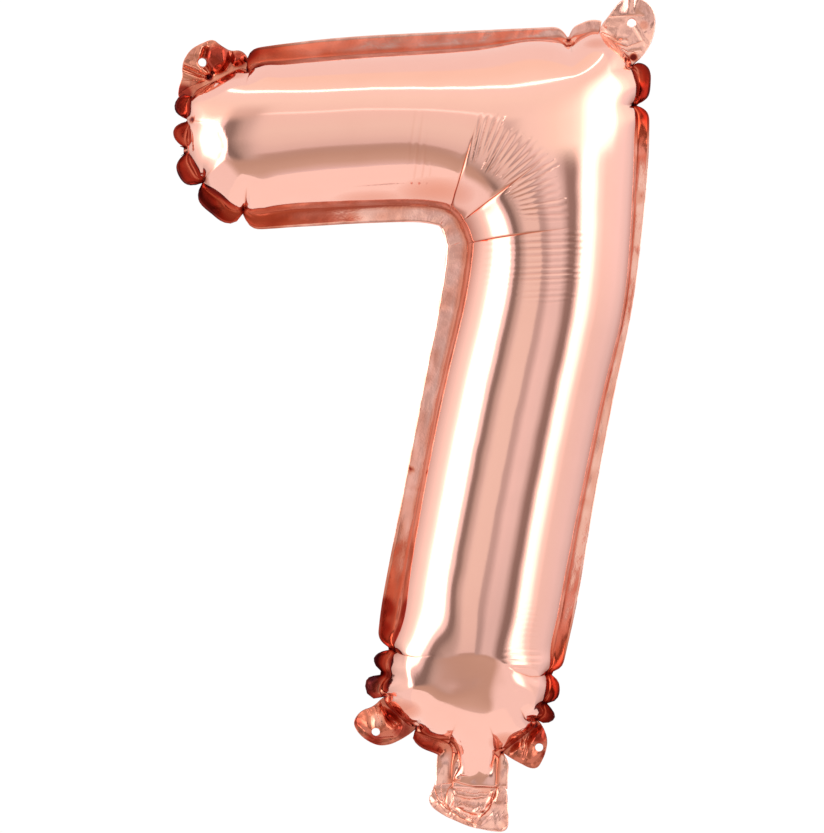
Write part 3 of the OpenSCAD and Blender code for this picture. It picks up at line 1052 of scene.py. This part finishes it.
for seed, (where, spec) in enumerate(TABS.items(), start=FIRST_TAB_SEED):
    points, faces = fill(rounded(spec["outline"]), np.array(spec["hole"]), seed)
    a, b = (np.array(end, float) for end in spec["root"])
    along = (b - a) / np.linalg.norm(b - a)
    away = np.array([-along[1], along[0]])
    if (np.array(spec["outline"]).mean(axis=0) - a) @ away < 0:
        away = -away
    off = (points - a) @ away
    x, z = points.T
    lift = flap_relief(x, z, spec, seed) * smoothstep(0, TAB_FLAT_MM, off)
    tab = new_piece(f"tab_{where}", np.stack([x, -lift, z], axis=1), faces)
    # Painted shade for light caught in the tab's folds.
    mark(tab, "deep", flap_painted_shade(x, z, spec))
    mark(tab, "rim", np.full(len(points), TAB_WELDED))
    mark_creases(tab, *sharp_creases(x, z, spec["lines"]))
    thicken(tab, 2 * FILM_MM, 0)
    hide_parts(f"hang_tab_{where}")
    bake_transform(tab)

# %% [markdown]
# ## The tail
# Below the neck the two plies are open, so that a straw can go in. They are flat, torn off
# rather than cut, and crumpled by the hand that closed the neck. Both plies share their large
# folds.

# %% Tail plies
# Folds and lines are given as for a tab. The two plies part a little towards the torn edge.
TAIL_OUTLINE = [(10.5, -176.5), (9.2, -180), (7.4, -184), (8.6, -187.6), (12.5, -190.6),
                (18, -193.6), (27.5, -197.6), (37, -199.4), (43.4, -199.9), (45.6, -198),
                (46, -194), (45.5, -186), (45.2, -176.5), (28, -176.5)]
TAIL_FOLDS = [
    ([(18.7, -178), (20, -186), (16.5, -192)], 1.1, 1.0, 0.1),
    ([(40, -178), (37.5, -186), (33, -192)], 1.3, 1.0, 0.1),
    ([(33, -191), (30, -198)], 0.8, 0.9, 0.1),
    ([(21, -183), (31, -184.5), (38, -182.6)], 0.7, 0.8, 0.1),
    ([(8, -182), (13, -187), (18, -193)], 0.9, 0.9, 0.1),
    ([(22, -189), (34, -191)], 0.7, 0.8, 0.1),
]
TAIL_LINES = [
    ([(22.5, -176.6), (29.7, -178.6), (39.3, -178.6)], 0.3, 0.7, 0.02),
    ([(41, -177), (40.3, -179.5), (36.4, -189.1), (31.2, -193.9)], 0.35, 0.85, 0.1),
    ([(18.7, -177), (16.8, -179.5), (15.3, -185.3), (18.7, -190.1)], 0.3, 0.7, 0.1),
    ([(10, -178), (12, -184.3), (15, -187.6), (22.5, -193), (32.1, -196.8)], 0.3, 0.6, 0.1),
    ([(22, -183), (27.3, -184.2), (35.5, -182.9)], 0.25, 0.5, 0.2),
    ([(21.6, -188.2), (26, -190.5), (31.2, -191.5)], 0.3, 0.6, 0.1),
]
TAIL_SEED = 80
TAIL_FLAT_ABOVE, TAIL_FREE_BELOW = -177.5, -183
PLY_APART_MM, PLY_PARTING_MM = 0.16, 0.5


def tail_relief(x, z):
    """How far the crumpled tail stands towards the front, in millimetres."""
    y = 1.2 * facets(x, z, 5.5, 90) + 0.45 * facets(x, z, 2.3, 95)
    for line, deep, wide, fade in TAIL_FOLDS:
        y += crease(x, z, line, deep, wide, fade)
    return y


for name, cad_node, face in (("tail_front", "tail_front_ply", -1),
                             ("tail_back", "tail_back_ply", 1)):
    points, faces = fill(rounded(TAIL_OUTLINE), seed=TAIL_SEED)
    x, z = points.T
    lift = tail_relief(x, z) * smoothstep(TAIL_FLAT_ABOVE, TAIL_FREE_BELOW, z)
    apart = face * (PLY_APART_MM + PLY_PARTING_MM * smoothstep(-190, -199, z))
    ply = new_piece(name, np.stack([x, -lift + apart, z], axis=1), faces)
    # A light painted shade for light caught in the crumples, varied at random.
    mark(ply, "deep", 0.12 + 0.12 * value_noise(x, z, 5, 97))
    mark(ply, "rim", np.full(len(points), 0.8))
    mark_creases(ply, *sharp_creases(x, z, TAIL_LINES))
    thicken(ply, FILM_MM, 0)
    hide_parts(cad_node)
    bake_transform(ply)

# %% [markdown]
# ## The finish
# Foil film is a clear plastic with aluminium vapour on its back and a pink lacquer over it, so
# to the eye it is a tinted metal mirror. Its colour is all in the reflection: the tint
# multiplies whatever the film reflects, once for every bounce.

# %% Colour and node helpers
def linear(code):
    """An sRGB hex colour as linear red, green, blue and alpha."""
    parts = [int(code[k:k + 2], 16) / 255 for k in (1, 3, 5)]
    parts = [c / 12.92 if c <= 0.04045 else ((c + 0.055) / 1.055) ** 2.4 for c in parts]
    return (*parts, 1.0)


def node(tree, kind, out=0, stops=(), **given):
    """Adds a node and gives one of its outputs, by name or number.

    Lower-case names in `given` are the node's own properties. The others are its inputs, by
    name or, after an underscore, by number, and an input is linked if it is given a socket.
    `stops` are the (position, linear colour) pairs of a colour ramp.
    """
    made = tree.nodes.new("ShaderNode" + kind)
    for key, value in given.items():
        if key[0].islower():
            setattr(made, key, value)
            continue
        socket = made.inputs[int(key[1:]) if key[0] == "_" else key.replace("_", " ")]
        if isinstance(value, bpy.types.NodeSocket):
            tree.links.new(value, socket)
        else:
            socket.default_value = value
    if stops:
        elements = made.color_ramp.elements
        while len(elements) < len(stops):
            elements.new(0.5)
        for element, (position, colour) in zip(elements, stops):
            element.position = position
            element.color = colour
    return made.outputs[out] if made.outputs else None


def new_material(name):
    """An empty material and its node tree."""
    material = bpy.data.materials.new(name)
    material.use_nodes = True
    material.node_tree.nodes.clear()
    print("material:", name)
    return material, material.node_tree

# %% [markdown]
# The lacquer is a warm rose. The ramp is painted shade: it goes from the open film to what two
# and three more bounces give, because the film here is thicker than the real one and its deepest
# folds are rounder than they should be, so that light gets out of them too easily. Vapour-coated
# film is very smooth: its roughness is near 0.08, and a little more where it was handled. Metal
# keeps the default index of refraction.
#
# Three noises give the detail of the surface. Clouds of about 17 mm vary tone and gloss a
# little. The open film has an orange-peel of about 1 mm, so slight that it only softens the
# edges of reflections. The weld was pressed between hot jaws, which can leave a grain. Its real
# size isn't known: about 2 mm is a guess, coarse enough to show.

# %% Metallised film
ROSE = linear("#FEC2B1")
PAINTED_BOUNCE_SHADE = [(0.0, ROSE), (0.4, linear("#E38C70")), (0.75, linear("#A83C2D")),
          (1.0, linear("#4A191E"))]
CLOUD_MM, PEEL_MM, GRAIN_MM = 1000 / 60, 1000 / 900, 1000 / 450
TONE_SPREAD = 0.03
CREASE_WIDE_MM = 0.6
PLEAT_SHADE_PER_MM = 1.6


def foil_material(name, roughness, weld_bump):
    """Aluminium-vapour film with a rose lacquer."""
    material, tree = new_material(name)
    at = {mark_name: node(tree, "Attribute", "Fac", attribute_name=mark_name)
          for mark_name in ("rim", "deep", "crease_gap", "crease_mm", "crease_dark",
                            "pleat_turn", "pleat_mm")}
    place = node(tree, "TexCoord", "Object")
    cloud = node(tree, "TexNoise", Vector=place, Scale=1 / (CLOUD_MM * MM), Detail=3.0)
    peel = node(tree, "TexNoise", Vector=place, Scale=1 / (PEEL_MM * MM), Detail=2.0)
    grain = node(tree, "TexNoise", Vector=place, Scale=1 / (GRAIN_MM * MM), Detail=4.0,
                 Roughness=0.7)

    # A crease is a valley whose depth dies away with distance; a pleat is a wave.
    distance = node(tree, "Math", operation="ABSOLUTE", _0=at["crease_gap"])
    falling = node(tree, "Math", operation="DIVIDE", _0=distance, _1=-CREASE_WIDE_MM)
    valley = node(tree, "Math", operation="EXPONENT", _0=falling)
    phase = node(tree, "Math", operation="MULTIPLY", _0=at["pleat_turn"], _1=2 * math.pi)
    wave = node(tree, "Math", operation="COSINE", _0=phase)

    # The bottoms of both get painted shade, like every other deep fold.
    thin = node(tree, "Math", operation="MULTIPLY", _0=valley, _1=valley)
    crease_line = node(tree, "Math", operation="MULTIPLY", _0=thin, _1=at["crease_dark"])
    bottoms = node(tree, "MapRange", Value=wave, From_Min=-0.2, From_Max=-1.0)
    shade = node(tree, "Math", operation="MULTIPLY", _0=at["pleat_mm"], _1=PLEAT_SHADE_PER_MM)
    pleat_line = node(tree, "Math", operation="MULTIPLY", _0=bottoms, _1=shade)
    line = node(tree, "Math", operation="MAXIMUM", _0=crease_line, _1=pleat_line)
    deepest = node(tree, "Math", operation="MAXIMUM", _0=at["deep"], _1=line)
    tone = node(tree, "MapRange", Value=cloud, To_Min=-TONE_SPREAD, To_Max=TONE_SPREAD)
    share = node(tree, "Math", operation="ADD", use_clamp=True, _0=deepest, _1=tone)
    tint = node(tree, "ValToRGB", stops=PAINTED_BOUNCE_SHADE, Fac=share)
    gloss = node(tree, "MapRange", Value=cloud, To_Min=roughness * 0.9, To_Max=roughness * 1.15)

    # Heights in millimetres tilt the surface, then the peel, then the ironed grain.
    waves = node(tree, "Math", operation="MULTIPLY", _0=wave, _1=at["pleat_mm"])
    valleys = node(tree, "Math", operation="MULTIPLY", _0=valley, _1=at["crease_mm"])
    folds = node(tree, "Math", operation="SUBTRACT", _0=waves, _1=valleys)
    ironed = node(tree, "Math", operation="MULTIPLY", _0=grain, _1=at["rim"])
    tilt = node(tree, "Bump", Height=folds, Strength=1.0, Distance=MM)
    tilt = node(tree, "Bump", Height=peel, Strength=0.02, Distance=0.3 * MM, Normal=tilt)
    tilt = node(tree, "Bump", Height=ironed, Strength=weld_bump, Distance=0.5 * MM, Normal=tilt)
    mirror = node(tree, "BsdfPrincipled", Base_Color=tint, Metallic=1.0, Roughness=gloss,
                  Normal=tilt)
    node(tree, "OutputMaterial", Surface=mirror)
    return material


foil = foil_material("metallised_film_rose", 0.08, 0.15)
foil_flap = foil_material("metallised_film_rose_handled", 0.13, 0.35)
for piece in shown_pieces():
    if piece.type == "MESH" and piece.name.endswith("_sheet"):
        piece.data.materials.append(foil)
    elif piece.type == "MESH" and not piece.name.startswith("valve"):
        piece.data.materials.append(foil_flap)

# %% [markdown]
# The valve is a sleeve of clear film inside the neck. It lets the straw in, and the pressure
# presses it shut. It is blown polythene: soft, slightly milky, with an index of refraction of
# 1.5 and a haze that comes and goes over about 6 mm. Its shape is the CAD's own, so only its
# material is set.

# %% Valve film
HAZE_MM = 1000 / 180
milky, tree = new_material("clear_polythene_film")
position = node(tree, "TexCoord", "Object")
haze = node(tree, "TexNoise", Vector=position, Scale=1 / (HAZE_MM * MM), Detail=2.0)
haze_rough = node(tree, "MapRange", Value=haze, To_Min=0.18, To_Max=0.34)
clear = node(tree, "BsdfPrincipled", Base_Color=linear("#F2F0EC"), Roughness=haze_rough,
             Transmission_Weight=0.85, IOR=1.5)
node(tree, "OutputMaterial", Surface=clear)
for name in ("valve_front_film", "valve_back_film"):
    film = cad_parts[name]
    if not film.material_slots:
        film.data.materials.append(milky)
    for slot in film.material_slots:
        slot.material = milky

# %% [markdown]
# ## The studio
# A mirror shows its room, so the room has to be right. A pale tent with a few bright strips
# and dark gaps stands all round, given here as brightness by direction. Across: a dark gap,
# then a wide soft box, on each side. Up: a warm floor in front, the camera's own shadow gap,
# a pale ceiling with two thin lamps.

# %% Light from each direction
BRIGHTEST = 3.2
# Azimuth in degrees (0 is towards the camera, + to its right) and brightness as three numbers.
ACROSS_THE_ROOM = [
    (-180, (0.64, 0.50, 0.46)), (-148, (0.64, 0.50, 0.46)), (-126, (0.84, 0.80, 0.80)),
    (-112, (1.0, 1.0, 1.0)), (-98, (1.25, 1.22, 1.2)), (-90, (1.7, 1.65, 1.6)),
    (-84, (3.0, 3.0, 2.9)), (-55, (3.0, 3.0, 2.9)), (-51, (1.2, 1.2, 1.25)),
    (-46.5, (1.0, 1.0, 1.05)), (-44, (0.30, 0.28, 0.27)), (-39, (0.28, 0.26, 0.25)),
    (-34, (0.58, 0.57, 0.55)), (-26, (0.80, 0.80, 0.80)), (-12, (0.86, 0.87, 0.87)),
    (-4, (0.58, 0.57, 0.58)), (1, (0.58, 0.57, 0.58)), (9, (0.90, 0.91, 0.94)),
    (22, (0.88, 0.90, 0.93)), (28, (0.60, 0.59, 0.60)), (32, (0.34, 0.30, 0.29)),
    (39, (0.30, 0.27, 0.26)), (43, (0.8, 0.8, 0.8)), (47, (1.7, 1.7, 1.7)),
    (50, (3.0, 3.0, 2.9)), (60, (2.7, 2.7, 2.6)), (70, (1.4, 1.38, 1.36)),
    (80, (1.07, 1.06, 1.06)), (108, (1.03, 1.03, 1.08)), (128, (0.87, 0.86, 0.9)),
    (146, (0.64, 0.50, 0.48)), (180, (0.62, 0.47, 0.45)),
]
# The same higher up, from about 10 degrees of elevation.
ACROSS_HIGHER_UP = [
    (-180, (0.9, 0.88, 0.85)), (-120, (0.9, 0.88, 0.85)), (-98, (1.1, 1.08, 1.02)),
    (-80, (1.25, 1.22, 1.12)), (-54, (1.2, 1.18, 1.1)), (-42, (0.75, 0.7, 0.66)),
    (-30, (0.72, 0.68, 0.64)), (-20, (0.88, 0.88, 0.85)), (-6, (0.95, 0.96, 0.93)),
    (10, (1.0, 1.02, 1.0)), (24, (1.06, 1.1, 1.04)), (36, (1.15, 1.26, 1.2)),
    (44, (1.5, 1.5, 1.4)), (54, (2.6, 2.6, 2.4)), (66, (3.0, 3.0, 2.9)), (86, (3.0, 3.0, 2.9)),
    (96, (1.6, 1.6, 1.5)), (112, (1.25, 1.25, 1.2)), (127, (1.15, 1.15, 1.1)),
    (145, (0.95, 0.92, 0.88)), (180, (0.9, 0.88, 0.85)),
]
# Elevation in degrees and brightness.
UP_THE_ROOM = [
    (-90, (0.88, 0.89, 1.08)), (-60, (0.90, 0.91, 1.04)), (-54, (0.74, 0.71, 0.70)),
    (-46, (0.62, 0.56, 0.49)), (-34, (0.55, 0.48, 0.41)), (-27, (0.52, 0.46, 0.41)),
    (-24, (0.54, 0.48, 0.44)), (-21, (0.76, 0.74, 0.74)), (-10, (0.85, 0.85, 0.83)),
    (4, (0.90, 0.92, 0.89)), (20, (0.92, 0.91, 0.89)), (25.8, (0.94, 0.93, 0.91)),
    (26.6, (1.35, 1.35, 1.35)), (28, (1.35, 1.35, 1.35)), (28.8, (0.95, 0.96, 0.93)),
    (44, (1.0, 1.04, 1.0)), (57.3, (1.02, 1.05, 1.05)), (58.4, (3.0, 3.0, 3.0)),
    (59.8, (3.0, 3.0, 3.0)), (60.9, (1.02, 1.05, 1.0)), (76, (1.0, 0.98, 0.90)),
    (90, (1.0, 0.96, 0.88)),
]

world = bpy.data.worlds.new("soft studio")
bpy.context.scene.world = world
world.use_nodes = True
tree = world.node_tree
tree.nodes.clear()
direction = node(tree, "TexCoord", "Generated")
rightward, backward, upward = (node(tree, "SeparateXYZ", axis, Vector=direction)
                               for axis in "XYZ")
forward = node(tree, "Math", operation="MULTIPLY", _0=backward, _1=-1.0)
azimuth = node(tree, "Math", operation="ARCTAN2", _0=rightward, _1=forward)
elevation = node(tree, "Math", operation="ARCSINE", _0=upward)

brightness = {}
for name, angle, table, low, high in (("around", azimuth, ACROSS_THE_ROOM, -180, 180),
                                      ("around_high", azimuth, ACROSS_HIGHER_UP, -180, 180),
                                      ("up", elevation, UP_THE_ROOM, -90, 90)):
    position = node(tree, "MapRange", Value=angle, From_Min=math.radians(low),
                    From_Max=math.radians(high))
    stops = [((degrees - low) / (high - low), (*(c / BRIGHTEST for c in colour), 1.0))
             for degrees, colour in table]
    brightness[name] = node(tree, "ValToRGB", stops=stops, Fac=position)
print("directions given:", len(ACROSS_THE_ROOM) + len(ACROSS_HIGHER_UP) + len(UP_THE_ROOM))

# %% [markdown]
# The three tables are joined by soft edges. Each edge is 0 at its first angle and 1 at its
# second. Near the level of the camera the brightness goes by the direction across, with the
# higher table above. Overhead, underfoot and straight in front it goes by elevation, except at
# the sides, where the room is even.

# %% Join the directions
SOFT_EDGES = {
    "right side": (azimuth, -8, 8),
    "right side raised": (elevation, 3, 13),
    "raised": (elevation, 17, 30),
    "left part": (azimuth, -22, -32),
    "right part": (azimuth, -7, -3),
    "above floor": (elevation, -32, -24),
    "below ceiling": (elevation, 46, 26),
    "left floor": (azimuth, -44, -60),
    "right floor": (azimuth, 24, 38),
    "low": (elevation, -16, -26),
    "far right": (azimuth, 88, 96),
    "far left": (azimuth, -88, -96),
    "lamp height": (elevation, 20, 30),
}
# A share of the room, how two shares make it, and the two.
SHARES = [
    ("right and raised", "MULTIPLY", "right side", "right side raised"),
    ("high up", "MAXIMUM", "right and raised", "raised"),
    ("to the side", "MAXIMUM", "left part", "right part"),
    ("level", "MULTIPLY", "above floor", "below ceiling"),
    ("across", "MULTIPLY", "to the side", "level"),
    ("floor at the sides", "MAXIMUM", "left floor", "right floor"),
    ("low at the sides", "MULTIPLY", "floor at the sides", "low"),
    ("far round", "MAXIMUM", "far right", "far left"),
    ("beside the lamps", "MULTIPLY", "far round", "lamp height"),
]
share = {name: node(tree, "MapRange", interpolation_type="SMOOTHSTEP", Value=angle,
                    From_Min=math.radians(start), From_Max=math.radians(end))
         for name, (angle, start, end) in SOFT_EDGES.items()}
for name, operation, a, b in SHARES:
    share[name] = node(tree, "Math", operation=operation, _0=share[a], _1=share[b])

EVEN = (0.95 / BRIGHTEST, 0.95 / BRIGHTEST, 0.97 / BRIGHTEST, 1)
around = node(tree, "Mix", 2, data_type="RGBA", _0=share["high up"], _6=brightness["around"],
              _7=brightness["around_high"])
dimmer_below = node(tree, "MapRange", Value=elevation, From_Min=math.radians(-12),
                    From_Max=math.radians(-3), To_Min=0.85)
around = node(tree, "VectorMath", operation="SCALE", _0=around, Scale=dimmer_below)
up = node(tree, "Mix", 2, data_type="RGBA", _0=share["low at the sides"],
          _6=brightness["up"], _7=EVEN)
up = node(tree, "Mix", 2, data_type="RGBA", _0=share["beside the lamps"], _6=up, _7=EVEN)
room = node(tree, "Mix", 2, data_type="RGBA", _0=share["across"], _6=up, _7=around)
print("shares of the room:", len(share))

# %% [markdown]
# The camera itself sees white behind the balloon, as the sweep would look without end.

# %% Room light and background
room_light = node(tree, "Background", Color=room, Strength=BRIGHTEST)
white = node(tree, "Background", Color=(1, 1, 1, 1), Strength=1.02)
seen = node(tree, "LightPath", "Is Camera Ray")
final = node(tree, "MixShader", _0=seen, _1=room_light, _2=white)
node(tree, "OutputWorld", Surface=final)
print("world:", world.name)

# %% [markdown]
# The balloon hangs in front of a white sweep: a floor that curves up into a wall. It glows
# evenly, as paper does when it is lit well, so that the background comes out pure white.

# %% White sweep
FLOOR_Z, FRONT_Y, WALL_Y = -1.2, -0.86, 3.0
SWEEP_R, HALF_WIDTH, WALL_TOP = 0.8, 1.0, 1.0
turns = np.linspace(0, np.pi / 2, 17)
profile = [(FRONT_Y, FLOOR_Z)]
profile += [(WALL_Y - SWEEP_R + SWEEP_R * math.sin(t), FLOOR_Z + SWEEP_R * (1 - math.cos(t)))
            for t in turns]
profile += [(WALL_Y, WALL_TOP)]
sweep_points = [(x, y, z) for y, z in profile for x in (-HALF_WIDTH, HALF_WIDTH)]
sweep_mesh = bpy.data.meshes.new("white_sweep")
sweep_mesh.from_pydata(sweep_points, [], grid_quads(len(profile), 2).tolist())
sweep = bpy.data.objects.new("white_sweep", sweep_mesh)
bpy.context.collection.objects.link(sweep)
paper, tree = new_material("lit_paper")
speckle = node(tree, "TexNoise", Vector=node(tree, "TexCoord", "Object"), Scale=3.0)
evenness = node(tree, "MapRange", Value=speckle, To_Min=1.0, To_Max=1.04)
glow = node(tree, "Emission", Color=linear("#FFFFFF"), Strength=evenness)
node(tree, "OutputMaterial", Surface=glow)
sweep_mesh.materials.append(paper)
sweep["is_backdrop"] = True
print("sweep, m:", 2 * HALF_WIDTH, "wide,", round(WALL_TOP - FLOOR_Z, 2), "high")

# %% [markdown]
# ## The camera
# A long lens from straight ahead, as for a catalogue picture, so that the digit shows no
# perspective. The view transform is the plain one, because the white must stay white.

# %% Camera
DISTANCE, SEEN_M = 2.2, 0.4005
CAMERA_X, CAMERA_Z = -0.0005, -0.0002
camera_data = bpy.data.cameras.new("camera")
camera_data.sensor_width = 36.0
camera_data.lens = camera_data.sensor_width * DISTANCE / SEEN_M
camera = bpy.data.objects.new("camera", camera_data)
bpy.context.collection.objects.link(camera)
camera.location = (CAMERA_X, -DISTANCE, CAMERA_Z)
camera.rotation_euler = (math.pi / 2, 0, 0)
bpy.context.scene.camera = camera
bpy.context.scene.view_settings.view_transform = "Standard"
print("lens, mm:", round(camera_data.lens))

# %% Sizes of what is shown
low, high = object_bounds()
print("visual box, mm:", [round(v * 1000, 1) for v in low], [round(v * 1000, 1) for v in high])
